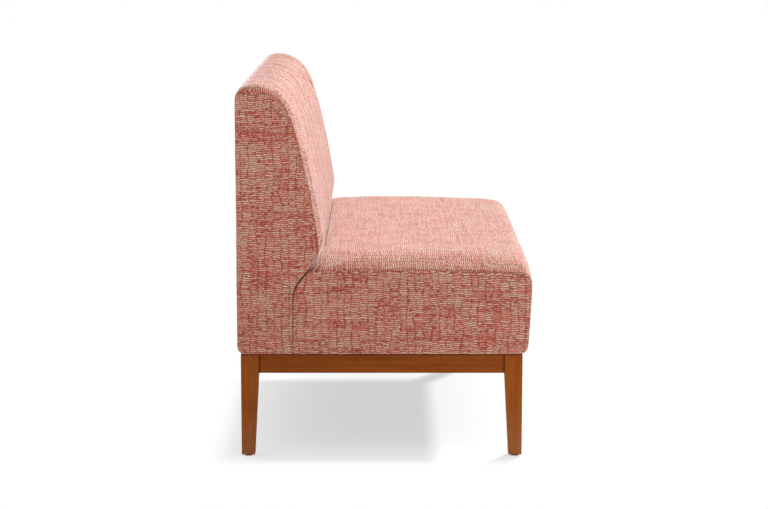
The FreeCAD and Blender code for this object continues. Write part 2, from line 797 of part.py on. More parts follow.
def strap(start, end, share):
    """Elastic strap across the ribs, centered at a share of one stretch of their front edge."""
    along = (end - start).normalize()
    outward = V(0, along.z, -along.y)
    middle = start + (end - start) * share + V(-frame_half, 0, 0)
    spots = [(-strap_width / 2, 0), (strap_width / 2, 0),
             (strap_width / 2, strap_thick), (-strap_width / 2, strap_thick)]
    corners = [middle + along * run + outward * rise for run, rise in spots]
    return Part.Face(Part.makePolygon([*corners, corners[0]])).extrude(V(2 * frame_half, 0, 0))


upper_straps = [strap(rib_upper, rib_crown, share) for share in upper_strap_shares]
lower_straps = [strap(rib_crown, rib_nose, share) for share in lower_strap_shares]
save("back_webbing", *upper_straps, *lower_straps)
save("back_board", block(rail_xs, (rib_rear_y, rib_rear_y + board_thick), (rear_foot_bottom, rib_top)))

# Foam hood over the back frame, and the back's cover.
cavity_outline = drawn_in(back_outline, [
    -overrun,
    back_top - rib_top - soft_gap,
    back_front_foam - strap_thick - soft_gap,
    back_front_foam - strap_thick - soft_gap,
    back_tuck_foam - soft_gap,
    -overrun,
    -overrun,
])
cavity_corners = [V(-frame_half - soft_gap, p.y, p.z) for p in cavity_outline]
cavity_face = Part.Face(Part.makePolygon([*cavity_corners, cavity_corners[0]]))
back_cavity = cavity_face.extrude(V(2 * (frame_half + soft_gap), 0, 0))
save("back_foam", back.solid(cloth_thick + soft_gap).cut(back_cavity))
back_opening = block(
    grown((-half, half), -back_rim),
    (foot_y + back_rim, rear_y - back_rim),
    (cloth_bottom - overrun, cloth_bottom + cloth_thick + overrun),
)
back_panels = [back.side_panel(side) for side in (-1, 1)]
cloth_holes = [*screw_holes(rear_screws, soft_gap), *[bolt_hole(x) for x in bolt_xs]]
save("back_cover", back.cover(back_panels, back_opening).cut(cloth_holes))
save("back_cover_left", back_panels[0])
save("back_cover_right", back_panels[1])

# Bolts from the seat's rear rail to the back's front foot rail.
bolts, washers, nuts = [], [], []
washer_y = foot_rail_ys[1]
nut_y = washer_y + washer_thick
for x in bolt_xs:
    head_seat = V(x, rear_rail_ys[0], bolt_z)
    head = rod(head_seat - V(0, bolt_head_height, 0), head_seat, bolt_head_radius)
    shank = rod(head_seat, V(x, nut_y + nut_height + bolt_spare, bolt_z), bolt_radius)
    bolts.append(fused(shank, head))
    washer = rod(V(x, washer_y, bolt_z), V(x, nut_y, bolt_z), washer_radius)
    washers.append(washer.cut(bolt_hole(x)))
    nut = hexagon(V(0, 0, 0), nut_flats, nut_height)
    nut.rotate(V(0, 0, 0), V(1, 0, 0), -90)
    nut.translate(V(x, nut_y, bolt_z))
    nuts.append(nut.cut(rod(V(x, washer_y, bolt_z), V(x, nut_y + nut_height + overrun, bolt_z),
                            bolt_radius + wood_gap)))
save("back_bolts", *bolts)
save("back_washers", *washers)
save("back_nuts", *nuts)

# Underside cloth between the base and the two upholstered units.
dust_cover = block(
    grown((-half, half), -dust_inset),
    grown((front_y, rear_y), -dust_inset),
    (base_top, cloth_bottom),
)
save("dust_cover", dust_cover.cut(screw_holes(front_screws + rear_screws + side_screws, soft_gap)))
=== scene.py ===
"""Dresses the banquette: padded seat and back, underside cloth, timber, fittings and stage."""

import math

import bpy
import numpy as np
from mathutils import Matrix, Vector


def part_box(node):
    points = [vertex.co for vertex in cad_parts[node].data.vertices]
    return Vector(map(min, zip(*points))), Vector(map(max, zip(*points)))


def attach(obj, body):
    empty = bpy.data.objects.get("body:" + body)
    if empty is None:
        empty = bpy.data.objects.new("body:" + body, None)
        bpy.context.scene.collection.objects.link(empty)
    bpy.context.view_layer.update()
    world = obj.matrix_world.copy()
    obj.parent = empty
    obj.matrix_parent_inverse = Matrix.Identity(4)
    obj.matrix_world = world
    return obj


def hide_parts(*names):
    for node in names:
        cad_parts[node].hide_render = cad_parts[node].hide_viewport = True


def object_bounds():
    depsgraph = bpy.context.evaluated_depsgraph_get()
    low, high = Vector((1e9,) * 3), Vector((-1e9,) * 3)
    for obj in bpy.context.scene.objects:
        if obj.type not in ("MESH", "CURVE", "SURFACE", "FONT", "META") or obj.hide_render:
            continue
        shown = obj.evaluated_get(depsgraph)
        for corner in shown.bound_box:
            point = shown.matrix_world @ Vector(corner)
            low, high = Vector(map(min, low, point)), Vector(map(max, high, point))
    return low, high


bl_info = {
    "name": "Banquette",
    "version": (1, 0, 0),
    "blender": (4, 5, 0),
    "location": "3D View > Sidebar > Banquette",
    "description": "Padded two-seat banquette on a stained timber base",
    "category": "Object",
}

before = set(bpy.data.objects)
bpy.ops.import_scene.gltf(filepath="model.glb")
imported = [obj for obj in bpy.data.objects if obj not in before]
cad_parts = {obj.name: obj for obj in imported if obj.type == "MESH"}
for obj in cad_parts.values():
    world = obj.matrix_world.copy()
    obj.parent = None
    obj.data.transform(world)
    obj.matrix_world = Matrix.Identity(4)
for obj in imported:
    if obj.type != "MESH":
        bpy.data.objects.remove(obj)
cad_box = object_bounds()
millimetre = 0.001
seat_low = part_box("seat_cover")[0]
back_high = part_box("back_cover")[1]
half_width = max(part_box("seat_cover_right")[1].x, back_high.x)
hem_z = seat_low.z
uneven_depth = 0.0008


def linear(code):
    """Linear red, green, blue of an sRGB hex colour."""
    parts = np.array([int(code[i : i + 2], 16) for i in (1, 3, 5)]) / 255
    low, high = parts / 12.92, ((parts + 0.055) / 1.055) ** 2.4
    return tuple(np.where(parts <= 0.04045, low, high).tolist())


def length(name, description, default):
    """A length property, in metres."""
    return bpy.props.FloatProperty(
        name=name, description=description, default=default, unit="LENGTH", precision=4
    )


def colour(name, description, code):
    """A colour property from an sRGB hex value."""
    return bpy.props.FloatVectorProperty(
        name=name, description=description, subtype="COLOR", min=0, max=1, default=linear(code)
    )


class BanquetteBack(bpy.types.PropertyGroup):
    """Side outline of the padded back."""

    top_depth: length("Top depth", "Rear face to the top front corner", 0.116)
    waist_depth: length("Waist depth", "Rear face to the bend in the front", 0.177)
    waist_rise: length("Waist rise", "Hem to the bend in the front", 0.434)
    nose_depth: length("Nose depth", "Rear face to the lumbar nose", 0.205)
    nose_rise: length("Nose rise", "Hem to the lumbar nose", 0.247)
    foot_depth: length("Foot depth", "Rear face to the joint with the seat", 0.132)
    tuck_rise: length("Tuck rise", "Hem to the end of the joint with the seat", 0.160)
    turn: length("Turn", "Length over which the cover falls to the side panel", 0.045)
    front_draw: length("Front draw", "How far the front falls back at the side seams", 0.011)
    swell: length("Swell", "How far the middle of the front stands proud of the ends", 0.001)
    fold_depth: length("Fold depth", "Depth of the soft pull lines over the front and top", 0.0065)


class BanquetteSeat(bpy.types.PropertyGroup):
    """Side outline of the padded seat."""

    crease: length("Crease", "Opening between the shoulder of the seat and the back", 0.0012)
    crown_rise: length("Crown rise", "Hem to the highest line of the seat", 0.235)
    rear_drop: length("Rear drop", "Fall of the top towards the back", 0.005)
    front_drop: length("Front drop", "Fall of the top towards the front edge", 0.011)
    belly_rise: length("Belly rise", "Hem to where the front leans in", 0.146)
    front_lean: length("Front lean", "How far the front leans in at the hem", 0.008)
    turn: length("Turn", "Length over which the cover falls to the side panel", 0.145)
    top_draw: length("Top draw", "How far the top falls at the side seams", 0.028)
    front_draw: length("Front draw", "How far the front falls back at the side seams", 0.001)
    swell: length("Swell", "How far the middle of the top stands proud of the ends", 0.001)


class BanquetteFinish(bpy.types.PropertyGroup):
    """Colours of the finishes."""

    yarn_pale: colour("Pale yarn", "Beige strokes of the weave", "#CCB298")
    yarn_blush: colour("Blush yarn", "Pink strokes of the weave", "#DA8974")
    ground_red: colour("Red ground", "Terracotta ground between the strokes", "#A0453A")
    ground_dark: colour("Dark ground", "Deep red in the breaks of the weave", "#702B24")
    wood_light: colour("Light grain", "Early wood under the stain", "#974E18")
    wood_dark: colour("Dark grain", "Late wood and pores under the stain", "#80400F")


class BanquetteStage(bpy.types.PropertyGroup):
    """Studio floor, light and camera."""

    camera_distance: length("Camera distance", "Camera to the near side of the seat", 4.782)
    camera_height: length("Camera height", "Camera above the floor", 1.255)
    camera_pitch: bpy.props.FloatProperty(
        name="Camera pitch",
        description="Tilt below the horizon",
        default=math.radians(9.096),
        subtype="ANGLE",
    )
    focal_length: bpy.props.FloatProperty(
        name="Focal length",
        description="Lens of a 36 mm wide sensor, in millimetres",
        default=97.03,
    )
    sky: bpy.props.FloatProperty(
        name="Sky", description="Strength of the overhead studio light", default=1.5
    )
    key: bpy.props.FloatProperty(
        name="Key", description="Strength of the key light from the far front corner", default=5.2
    )


def unit(vectors):
    """Vectors over their own lengths."""
    return vectors / np.linalg.norm(vectors, axis=-1, keepdims=True)


def left_of(vectors):
    """Plane vectors turned a quarter turn to the left."""
    return np.stack([-vectors[..., 1], vectors[..., 0]], axis=-1)


def inset_corners(corners, insets):
    """Corners of a closed outline whose edges have each moved in by an amount of their own.

    Edge i leaves corner i. With inward normals a, b of the edges that meet in a corner and offsets
    p, q along them, the moved lines a.x = p and b.x = q cross at (p b - q a) turned by a quarter
    turn to the right, over the cross product of a and b. insets has one row per station.
    """
    inward = left_of(unit(np.roll(corners, -1, axis=0) - corners))
    reach = np.sum(inward * corners, axis=1) + insets
    a, b = np.roll(inward, 1, axis=0), inward
    p, q = np.roll(reach, 1, axis=1), reach
    spread = a[:, 0] * b[:, 1] - a[:, 1] * b[:, 0]
    mix = p[..., None] * b - q[..., None] * a
    return np.stack([mix[..., 1], -mix[..., 0]], axis=-1) / spread[:, None]


def rounded_loops(corners, rounds, arc_steps, edge_steps):
    """Closed loops through corners that are rounded by tangent arcs.

    A corner that turns by t with radius r has its arc start r tan(t/2) before the corner, and the
    arc's points are its start swung about its centre by shares of t. Straight points fill the edge
    up to the next arc. corners is stations x corners x 2. Also gives each arc's middle as an index.
    """
    arriving = unit(corners - np.roll(corners, 1, axis=1))
    leaving = np.roll(arriving, -1, axis=1)
    aside = np.sum(left_of(arriving) * leaving, axis=-1)
    ahead = np.sum(arriving * leaving, axis=-1)
    turn = np.arctan2(aside, ahead)
    reach = rounds * np.tan(np.abs(turn) / 2)
    start = corners - arriving * reach[..., None]
    end = corners + leaving * reach[..., None]
    centre = start + left_of(arriving) * (np.sign(turn) * rounds)[..., None]
    arm = start - centre
    runs, middles, count = [], [], 0
    for i, (arc, edge) in enumerate(zip(arc_steps, edge_steps)):
        swing = turn[:, i, None] * np.linspace(0, 1, arc + 1)
        spoke = arm[:, i, None, :]
        bow = spoke * np.cos(swing)[..., None] + left_of(spoke) * np.sin(swing)[..., None]
        runs.append(centre[:, i, None, :] + bow)
        share = np.linspace(0, 1, edge + 2)[1:-1, None]
        nxt = (i + 1) % len(arc_steps)
        runs.append(end[:, i, None, :] * (1 - share) + start[:, nxt, None, :] * share)
        middles.append(count + arc // 2)
        count += arc + 1 + edge
    return np.concatenate(runs, axis=1), middles


def stations(half, turn, turn_steps, middle_steps):
    """Places along the width: close together where the ends turn down over an arc, even between.

    The arc covers two fifths of a right angle, so the seam stays a crisp edge. Gives x, and the
    fall 1 - cos of the arc as a share of its whole fall.
    """
    arc = 0.2 * math.pi
    angle = np.linspace(0, arc, turn_steps + 1)[1:]
    flat = np.linspace(-(half - turn), half - turn, middle_steps + 1)
    end = half - turn + turn * np.sin(angle) / np.sin(angle[-1])
    fall = (1 - np.cos(angle)) / (1 - np.cos(angle[-1]))
    x = np.concatenate([-end[::-1], flat, end])
    return x, np.concatenate([fall[::-1], np.zeros_like(flat), fall])


def matched_steps(arc_steps, edge_steps, rim, free):
    """Edge counts with equal numbers of points on opposite sides of an end panel.

    rim names the four corners of the panel, and free the edge on each side that takes up the
    difference.
    """
    steps = list(edge_steps)
    for side in (0, 1):
        runs = [arc + 1 + edge for arc, edge in zip(arc_steps, steps)]
        middles = np.cumsum([0] + runs)[:-1] + np.array(arc_steps) // 2
        marks = [middles[i] for i in rim] + [middles[rim[0]] + sum(runs)]
        counts = np.diff(marks)
        steps[free[side]] += int(counts[side] - counts[side + 2])
    return steps


def end_grid(ring, sides):
    """Index grid of an end panel whose rim is the ring, in four sides with equal opposite ones."""
    across, along = sides
    if len(ring) != 2 * (across + along):
        raise ValueError("opposite sides of an end panel have different counts")
    grid = np.zeros((across + 1, along + 1), int)
    grid[:, 0] = ring[: across + 1]
    grid[across, :] = ring[across : across + along + 1]
    grid[:, along] = ring[across + along : 2 * across + along + 1][::-1]
    grid[0, :] = np.append(ring[2 * across + along :], ring[0])[::-1]
    return grid


def coons(edge):
    """Surface that blends a grid's four rims.

    Both pairs of opposite rims run straight across and are added, less the flat blend of the four
    corners.
    """
    u = np.linspace(0, 1, edge.shape[0])[:, None, None]
    v = np.linspace(0, 1, edge.shape[1])[None, :, None]
    across = edge[:, :1] * (1 - v) + edge[:, -1:] * v
    along = edge[:1] * (1 - u) + edge[-1:] * u
    corner = (edge[:1, :1] * (1 - v) + edge[:1, -1:] * v) * (1 - u)
    corner = corner + (edge[-1:, :1] * (1 - v) + edge[-1:, -1:] * v) * u
    return across + along - corner


def quads(grid):
    """Four-cornered faces of an index grid."""
    corners = [grid[:-1, :-1], grid[1:, :-1], grid[1:, 1:], grid[:-1, 1:]]
    return np.stack(corners, axis=-1).reshape(-1, 4)


def new_piece(name, points, faces, places):
    """A smooth mesh object from arrays, with a map in metres: one place per face corner."""
    mesh = bpy.data.meshes.new(name)
    mesh.from_pydata(points, [], faces)
    layer = mesh.uv_layers.new(name="UVMap")
    layer.data.foreach_set("uv", np.ascontiguousarray(places, np.float32).ravel())
    mesh.shade_smooth()
    mesh.update()
    piece = bpy.data.objects.new(name, mesh)
    bpy.context.scene.collection.objects.link(piece)
    return piece


def padded_block(
    name, corners, rounds, end_rounds, draws, swells, turn, arc_steps, edge_steps, rim, width_steps
):
    """A closed padded block: the outline carried along the width, with a soft turn into both ends.

    At x each edge of the outline moves in by swell (x / half)^2 + draw f, and the corners' radii go
    from rounds to end_rounds by f, where f is the fall of the arc in the last stretch, turn. The
    ends are blended panels that stand out by bulge times (1 - u^8) (1 - v^8). The weave's map runs
    along the width on the main cover, and along y on the ends. rounds and end_rounds have one value
    per corner, and draws and swells one for the edge that leaves it.
    """
    seam_sink = 1.2 * millimetre
    bulge = millimetre
    hair = millimetre * 0.01
    # the seam is sunk along edges that are drawn in by more than this
    sunk_draw = 0.002
    turn_steps, squareness = 8, 8
    x, fall = stations(half_width, turn, turn_steps, width_steps)
    insets = swells * (x[:, None] / half_width) ** 2 + draws * fall[:, None]
    rims = np.abs(x) > half_width - hair
    insets = insets + seam_sink * rims[:, None] * (draws > sunk_draw)
    radii = rounds + (end_rounds - rounds) * fall[:, None]
    loops, middles = rounded_loops(inset_corners(corners, insets), radii, arc_steps, edge_steps)
    count, size = loops.shape[:2]
    width_place = np.where(rims, np.sign(x) * (half_width - seam_sink), x)
    width_places = np.broadcast_to(width_place[:, None, None], (count, size, 1))
    tube = np.concatenate([width_places, loops], axis=-1)
    index = np.arange(count * size).reshape(count, size)
    wrapped = np.concatenate([index, index[:, :1]], axis=1)
    faces = [quads(wrapped.T)]
    middle = loops[count // 2]
    steps = np.linalg.norm(np.roll(middle, -1, axis=0) - middle, axis=1)
    girth = np.concatenate([[0], np.cumsum(steps)])
    slant = np.hypot(np.diff(x), np.diff(insets.max(axis=1)))
    walk = np.concatenate([[0], np.cumsum(slant)]) - slant.sum() / 2
    map_grid = np.stack(np.broadcast_arrays(walk[None, :], girth[:, None]), axis=-1)
    corner_ids = quads(np.arange(map_grid[..., 0].size).reshape(map_grid.shape[:2]))
    places = [map_grid.reshape(-1, 2)[corner_ids.ravel()]]
    points = [tube.reshape(-1, 3)]
    first = [middles[i] for i in rim]
    sides = (first[1] - first[0], first[2] - first[1])
    for station, side in ((0, -1), (count - 1, 1)):
        ring = np.roll(index[station], -first[0])
        grid = end_grid(ring, sides)
        panel = coons(points[0][grid])
        u = np.linspace(-1, 1, grid.shape[0])[:, None]
        v = np.linspace(-1, 1, grid.shape[1])[None, :]
        panel[..., 0] += side * (seam_sink + bulge) * (1 - u**squareness) * (1 - v**squareness)
        inner = panel[1:-1, 1:-1].reshape(-1, 3)
        numbers = np.arange(len(inner)) + sum(map(len, points))
        grid[1:-1, 1:-1] = numbers.reshape(grid.shape[0] - 2, -1)
        cells = quads(grid)
        cell_ids = quads(np.arange(grid.size).reshape(grid.shape))
        yz = panel[..., 1:].reshape(-1, 2)
        if side < 0:
            cells, cell_ids = cells[:, ::-1], cell_ids[:, ::-1]
        points.append(inner)
        faces.append(cells)
        places.append(yz[cell_ids.ravel()])
    return new_piece(name, np.concatenate(points), np.concatenate(faces), np.concatenate(places))


def vertex_rows(mesh, field):
    """One row per vertex of a mesh: co for its place, normal for its outward normal."""
    flat = np.empty(len(mesh.vertices) * 3, np.float32)
    mesh.vertices.foreach_get(field, flat)
    return flat.reshape(-1, 3).astype(float)


def set_coordinates(mesh, points):
    """Puts vertex places back into a mesh."""
    mesh.vertices.foreach_set("co", np.ascontiguousarray(points, np.float32).ravel())
    mesh.update()


def swell_cover(piece, room):
    """Air pressure fills the cover for twenty frames, and a point keeps its own room of the move.

    A point that the cloth has moved by d keeps room tanh(d / room) of it, without the part of the
    move that goes inwards. Points with hardly any room are held.
    """
    frames = 20
    held_room = 0.3 * millimetre
    scene = bpy.context.scene
    start = vertex_rows(piece.data, "co")
    pins = piece.vertex_groups.new(name="held")
    pins.add(np.flatnonzero(room < held_room).tolist(), 1.0, "REPLACE")
    cloth = piece.modifiers.new("Cloth", "CLOTH")
    cloth.settings.quality = 4
    cloth.settings.mass = 0.4
    cloth.settings.tension_stiffness = 40
    cloth.settings.compression_stiffness = 40
    cloth.settings.shear_stiffness = 20
    cloth.settings.bending_stiffness = 2
    cloth.settings.use_pressure = True
    cloth.settings.uniform_pressure_force = 4
    cloth.settings.effector_weights.gravity = 0
    cloth.settings.vertex_group_mass = "held"
    cloth.collision_settings.use_collision = False
    cloth.point_cache.frame_start = 1
    cloth.point_cache.frame_end = frames
    for step in range(1, frames + 1):
        scene.frame_set(step)
    filled = piece.evaluated_get(bpy.context.evaluated_depsgraph_get())
    shift = vertex_rows(filled.data, "co") - start
    outward = vertex_rows(piece.data, "normal")
    inward = np.minimum(np.sum(shift * outward, axis=1), 0)
    shift = shift - outward * inward[:, None]
    move = np.linalg.norm(shift, axis=1)
    piece.modifiers.remove(cloth)
    piece.vertex_groups.remove(pins)
    scene.frame_set(1)
    keep = room * np.tanh(move / np.maximum(room, 1e-6)) / np.maximum(move, 1e-9)
    set_coordinates(piece.data, start + shift * keep[:, None])
    print(f"{piece.name}: cloth moved {move.mean():.4f} mean, {move.max():.4f} most")


def ripple(points, waves, seed):
    """Mean of sine waves with seeded directions and phases: the unevenness of hand work."""
    rng = np.random.default_rng(seed)
    total = np.zeros(len(points))
    for size in waves:
        heading = unit(rng.normal(size=3)) * (2 * math.pi / size)
        total += np.sin(points @ heading + rng.uniform(0, 2 * math.pi))
    return total / len(waves)


def pull_lines(points):
    """Soft upright folds: bell curves depth exp(-((x - line) / width)^2) about lines that wander.

    Each line strays from its middle by wander sin(9 z + a phase of its own), with z in metres.
    """
    x, _, z = points.T
    total = np.zeros(len(points))
    middles = np.array([-0.50, -0.345, -0.19, -0.03, 0.12, 0.285, 0.39, 0.485])
    depths = np.array([0.6, 0.9, 0.7, 1.0, 0.8, 0.9, 0.8, 1.5])
    wander, sway, phase_step, width = 0.006, 9, 2.1, 0.0085
    for i, (middle, depth) in enumerate(zip(middles, depths)):
        line = middle + wander * np.sin(z * sway + i * phase_step)
        total += depth * np.exp(-(((x - line) / width) ** 2))
    return total


def finish_padded(piece, finish, replaced):
    """Woven cloth, one subdivision and the frame's bookkeeping for a padded block."""
    smooth = piece.modifiers.new("Smooth", "SUBSURF")
    smooth.levels = smooth.render_levels = 1
    cloth = bpy.data.materials.get("woven_wool_tweed") or woven_cloth(finish)
    piece.data.materials.append(cloth)
    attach(piece, "frame")
    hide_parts(*replaced)


# settings that nodes share: a ramp with soft ends, and a mix of two colours
eased = {"interpolation_type": "SMOOTHSTEP"}
blended = {"out": 2, "data_type": "RGBA"}


def add(tree, kind, links=None, out=0, **settings):
    """Adds a shader node, sets its inputs to sockets or plain values, and gives one output."""
    node = tree.nodes.new("ShaderNode" + kind)
    for key, value in settings.items():
        setattr(node, key, value)
    for key, value in (links or {}).items():
        if isinstance(value, bpy.types.NodeSocket):
            tree.links.new(value, node.inputs[key])
        else:
            node.inputs[key].default_value = value
    return node.outputs[out]


def material(name):
    """A bare node material and its tree and surface shader."""
    made = bpy.data.materials.new(name)
    made.use_nodes = True
    return made, made.node_tree, made.node_tree.nodes["Principled BSDF"]


def opaque(rgb):
    """A colour with full alpha."""
    return (*rgb, 1.0)


def woven_cloth(finish):
    """Tweed, loosely woven: slubby floats of beige and blush wool over a terracotta ground.

    It looks matt, with a soft pale bloom of loose fibre at grazing angles. Floats are about 8 to
    20 mm long, one row every 4.75 mm, and stand in straight columns about 18 mm wide. A dark break
    runs beside some columns for 25 to 60 mm. Single fibres are too fine to show, so they are drawn
    as a speckle of 2.4 mm.
    """
    stack_width, stack_height, pitch = 0.0185, 0.034, 0.00475
    # waves of 26, 48, 67 and 2.4 mm, slubs of 9 by 5 mm, and streaks of 250 by 8 mm
    wander_wave, drift_wave, patch_wave, fibre_wave = 1 / 38, 1 / 21, 1 / 15, 1 / 420
    slub_length, slub_width = 1 / 115, 1 / 210
    pick_length, pick_width = 0.250, 0.008
    wander_reach, drift_reach = (0.005, 0.012, 0.0), (0.022, 0.006, 0.0)
    grey = (0.5, 0.5, 0.5)
    # shares of a column: how far the ends of floats vary, how soft and thin they are, and the break
    end_spread, end_fade, end_thin = 0.26, 0.18, 0.30
    break_full, break_end, break_depth = 0.03, 0.11, 0.9
    # how much each cause adds to the yarn that shows over the ground
    base, by_float, by_patch, by_slub, by_pick = 0.47, 0.60, 0.26, 0.70, (-0.28, 0.26)
    cloth, tree, shader = material("woven_wool_tweed")
    flat = add(tree, "UVMap", uv_map="UVMap")
    # rows wave a little, and columns drift so that no two are quite as wide
    noise = {"Vector": flat, "Scale": 1 / wander_wave, "Detail": 3.0}
    wander = add(tree, "TexNoise", noise, out="Color")
    wander = add(tree, "VectorMath", {0: wander, 1: grey}, operation="SUBTRACT")
    wander = add(tree, "VectorMath", {0: wander, 1: wander_reach}, operation="MULTIPLY")
    place = add(tree, "VectorMath", {0: flat, 1: wander}, operation="ADD")
    noise = {"Vector": flat, "Scale": 1 / drift_wave, "Detail": 1.0}
    drift = add(tree, "TexNoise", noise, out="Color")
    drift = add(tree, "VectorMath", {0: drift, 1: grey}, operation="SUBTRACT")
    drift = add(tree, "VectorMath", {0: drift, 1: drift_reach}, operation="MULTIPLY")
    place = add(tree, "VectorMath", {0: place, 1: drift}, operation="ADD")
    split = add(tree, "SeparateXYZ", {0: place})
    u, v = split, split.node.outputs[1]
    # columns, cut into tiers that are shifted by a random amount, with three dice for each
    along = add(tree, "Math", {0: u, 1: stack_width}, operation="DIVIDE")
    stack = add(tree, "Math", {0: along}, operation="FLOOR")
    along = add(tree, "Math", {0: along}, operation="FRACT")
    shift = add(tree, "TexWhiteNoise", {"W": stack}, noise_dimensions="1D")
    tier = add(tree, "Math", {0: v, 1: stack_height}, operation="DIVIDE")
    tier = add(tree, "Math", {0: shift, 1: 7.0, 2: tier}, operation="MULTIPLY_ADD")
    tier = add(tree, "Math", {0: tier}, operation="FLOOR")
    dice = add(tree, "CombineXYZ", {0: stack, 1: tier})
    dice = add(tree, "TexWhiteNoise", {"Vector": dice}, noise_dimensions="2D", out="Color")
    dice = add(tree, "SeparateXYZ", {0: dice})
    phase, broken, tint = dice, dice.node.outputs[1], dice.node.outputs[2]
    # rows in each tier, with three dice for each float
    row = add(tree, "Math", {0: v, 1: pitch}, operation="DIVIDE")
    row = add(tree, "Math", {0: phase, 1: 0.5, 2: row}, operation="MULTIPLY_ADD")
    row_number = add(tree, "Math", {0: row}, operation="FLOOR")
    row = add(tree, "Math", {0: row}, operation="FRACT")
    dice = add(tree, "CombineXYZ", {0: stack, 1: row_number, 2: tier})
    dice = add(tree, "TexWhiteNoise", {"Vector": dice}, noise_dimensions="3D", out="Color")
    dice = add(tree, "SeparateXYZ", {0: dice})
    show, shade, run = dice, dice.node.outputs[1], dice.node.outputs[2]
    # a float is highest in the middle of its row and thins out towards its head and tail
    off = add(tree, "Math", {0: row, 1: 0.5}, operation="SUBTRACT")
    off = add(tree, "Math", {0: off}, operation="ABSOLUTE")
    crest = add(tree, "MapRange", {0: off, 1: 0.16, 2: 0.44, 3: 1.0, 4: 0.0}, **eased)
    head = add(tree, "Math", {0: run, 1: -end_spread, 2: along}, operation="MULTIPLY_ADD")
    head = add(tree, "MapRange", {0: head, 1: -end_fade, 2: 0.0, 3: end_thin}, **eased)
    tail = add(tree, "Math", {0: shade, 1: end_spread, 2: along}, operation="MULTIPLY_ADD")
    tail = add(tree, "MapRange", {0: tail, 1: 1.0 + end_fade, 2: 1.0, 3: end_thin}, **eased)
    edge = add(tree, "MapRange", {0: along, 1: break_full, 2: break_end, 3: 1.0, 4: 0.0}, **eased)
    cut = add(tree, "MapRange", {0: broken, 1: 0.52, 2: 0.90, 3: 0.0, 4: break_depth})
    gap = add(tree, "Math", {0: edge, 1: cut}, operation="MULTIPLY")
    raised = add(tree, "Math", {0: gap, 1: -1.0, 2: 1.0}, operation="MULTIPLY_ADD")
    for part in (crest, head, tail):
        raised = add(tree, "Math", {0: raised, 1: part}, operation="MULTIPLY")
    # patches, slubs, and picks of yarn that stay paler or redder over a long way
    patch = add(tree, "TexNoise", {"Vector": flat, "Scale": 1 / patch_wave, "Detail": 3.0})
    patch = add(tree, "MapRange", {0: patch, 1: 0.35, 2: 0.65, 3: -by_patch, 4: by_patch})
    slub = add(tree, "Mapping", {"Vector": place, "Scale": (1 / slub_length, 1 / slub_width, 1.0)})
    slub = add(tree, "TexNoise", {"Vector": slub, "Scale": 1.0, "Detail": 2.0})
    slub = add(tree, "MapRange", {0: slub, 1: 0.32, 2: 0.68, 3: -by_slub, 4: by_slub})
    pick = add(tree, "Mapping", {"Vector": flat, "Scale": (1 / pick_length, 1 / pick_width, 1.0)})
    pick = add(tree, "TexNoise", {"Vector": pick, "Scale": 1.0, "Detail": 2.0})
    pick = add(tree, "MapRange", {0: pick, 1: 0.35, 2: 0.65, 3: by_pick[0], 4: by_pick[1]})
    share = add(tree, "Math", {0: show, 1: by_float, 2: patch}, operation="MULTIPLY_ADD")
    share = add(tree, "Math", {0: share, 1: slub}, operation="ADD")
    share = add(tree, "Math", {0: share, 1: pick}, operation="ADD")
    share = add(tree, "Math", {0: share, 1: base}, operation="ADD", use_clamp=True)
    share = add(tree, "Math", {0: share, 1: raised}, operation="MULTIPLY")
    tint = add(tree, "Math", {0: tint, 1: shade}, operation="MULTIPLY")
    pale, blush = opaque(finish.yarn_pale), opaque(finish.yarn_blush)
    red, deep = opaque(finish.ground_red), opaque(finish.ground_dark)
    yarn = add(tree, "Mix", {0: tint, 6: pale, 7: blush}, **blended)
    ground = add(tree, "Mix", {0: gap, 6: red, 7: deep}, **blended)
    dyed = add(tree, "Mix", {0: share, 6: ground, 7: yarn}, **blended)
    fuzz = add(tree, "TexNoise", {"Vector": flat, "Scale": 1 / fibre_wave, "Detail": 2.0})
    speck = add(tree, "MapRange", {0: fuzz, 1: 0.3, 2: 0.7, 3: 0.84, 4: 1.12})
    dyed = add(tree, "VectorMath", {0: dyed, "Scale": speck}, operation="SCALE")
    height = add(tree, "Math", {0: fuzz, 1: 0.25, 2: raised}, operation="MULTIPLY_ADD")
    bump = add(tree, "Bump", {"Height": height, "Strength": 0.38, "Distance": 0.0012})
    tree.links.new(dyed, shader.inputs["Base Color"])
    tree.links.new(bump, shader.inputs["Normal"])
    shader.inputs["Roughness"].default_value = 0.92
    shader.inputs["IOR"].default_value = 1.5
    shader.inputs["Specular IOR Level"].default_value = 0.2
    shader.inputs["Sheen Weight"].default_value = 0.40
    shader.inputs["Sheen Roughness"].default_value = 0.36
    shader.inputs["Sheen Tint"].default_value = opaque(linear("#FFFFFF"))
    return cloth


